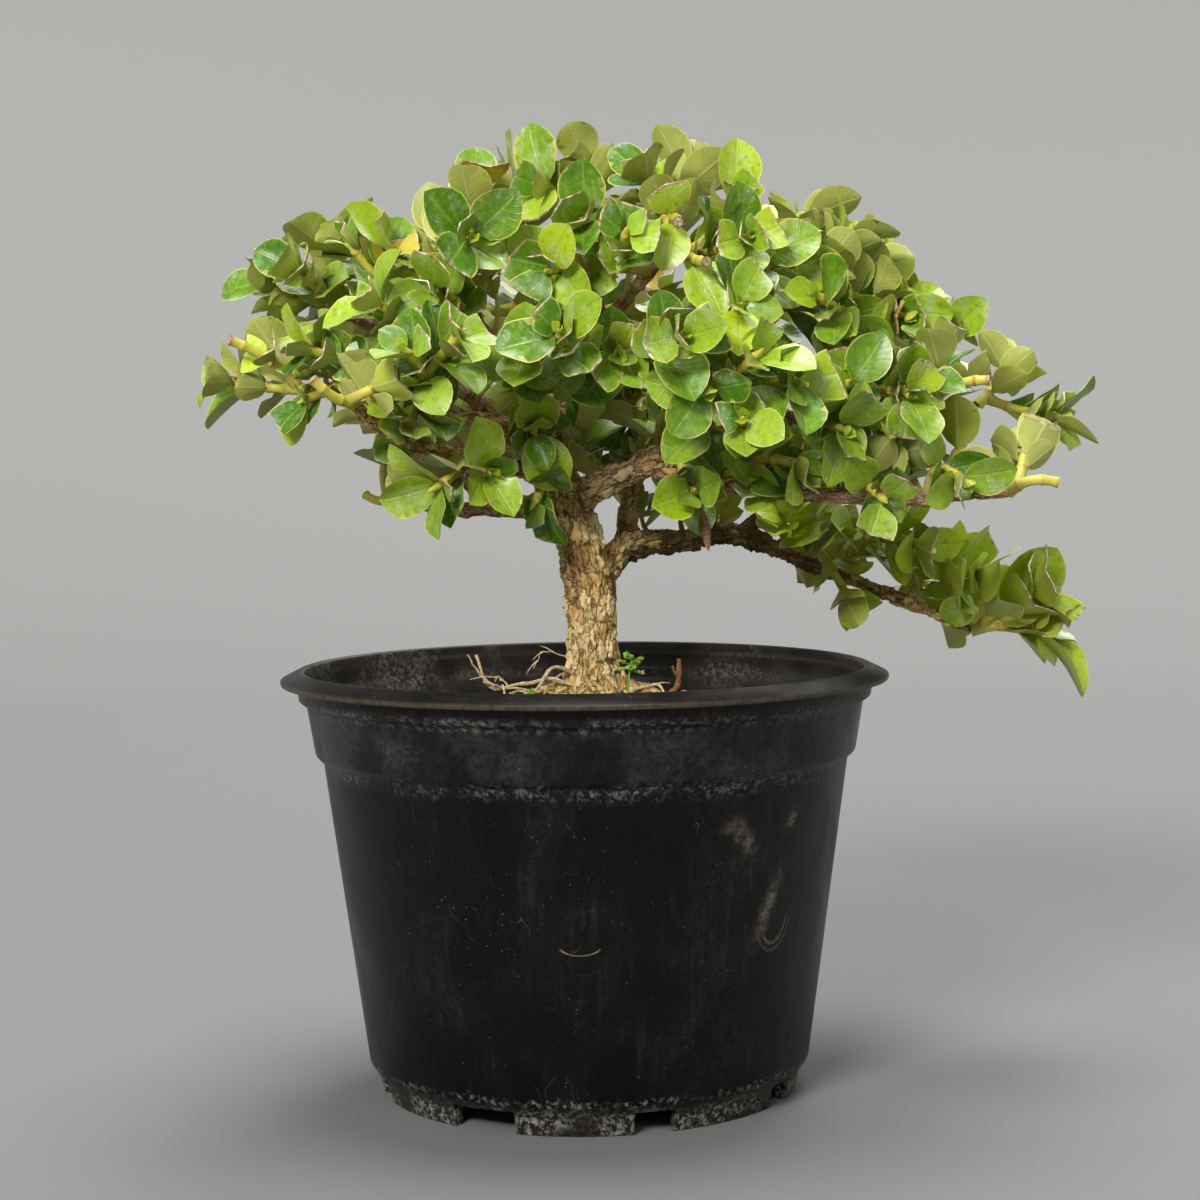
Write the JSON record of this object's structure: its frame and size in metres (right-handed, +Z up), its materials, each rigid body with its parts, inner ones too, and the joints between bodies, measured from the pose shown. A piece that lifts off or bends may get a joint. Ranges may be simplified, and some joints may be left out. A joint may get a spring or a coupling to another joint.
{
  "type": "potted bonsai tree",
  "caption": "Young natal plum bonsai with a bare trunk, spreading branches and hedge-cut leathery leaves, in a round black plastic nursery pot filled with soil.",
  "frame": {"origin": "middle of the footprint of the whole plant and pot, on the ground under the pot's feet", "axes": "+Z up along the pot's axis, +X to the right and -Y to the front as in the picture"},
  "size_m": [0.2458, 0.1762, 0.2608],
  "materials": {
    "pot_plastic": "satin",
    "soil": "matte",
    "bark": "matte",
    "foliage": "satin",
    "weed": "satin"
  },
  "bodies": {
    "root": {"pot": "pot_plastic", "soil": "soil", "tree": "bark", "twig_01_left": "foliage", "twig_02_left": "foliage", "twig_03_left": "foliage", "twig_04_upperleft": "foliage", "twig_05_upperleft": "foliage", "twig_06_upperleft": "foliage", "twig_07_frontleft": "foliage", "twig_08_frontleft": "foliage", "twig_09_frontleft": "foliage", "twig_10_frontleft": "foliage", "twig_11_crownleft": "foliage", "twig_12_crownleft": "foliage", "twig_13_crownleft": "foliage", "twig_14_crown": "foliage", "twig_15_crown": "foliage", "twig_16_leader": "foliage", "twig_17_crownright": "foliage", "twig_18_crownright": "foliage", "twig_19_crownright": "foliage", "twig_20_right": "foliage", "twig_21_right": "foliage", "twig_22_right": "foliage", "twig_23_right": "foliage", "twig_24_right": "foliage", "twig_25_right": "foliage", "twig_26_rightfork": "foliage", "twig_27_rightfork": "foliage", "twig_28_upperright": "foliage", "twig_29_upperright": "foliage", "twig_30_upperright": "foliage", "twig_31_longright": "foliage", "twig_32_longright": "foliage", "twig_33_longright": "foliage", "twig_34_longright": "foliage", "twig_35_rearright": "foliage", "twig_36_rearright": "foliage", "twig_37_rearright": "foliage", "twig_38_lowright": "foliage", "twig_39_lowright": "foliage", "twig_40_lowright": "foliage", "twig_41_lowright": "foliage", "twig_42_rearrise": "foliage", "twig_43_rearrise": "foliage", "twig_44_rearrise": "foliage", "twig_45_rearmiddle": "foliage", "twig_46_rearmiddle": "foliage", "twig_47_rearouter": "foliage", "twig_48_rearleft": "foliage", "twig_49_rearleftrise": "foliage", "twig_50_rearleftrise": "foliage", "twig_51_crownrear": "foliage", "twig_52_crownrear": "foliage", "weed_seedling": "weed"}
  },
  "joints": []
}
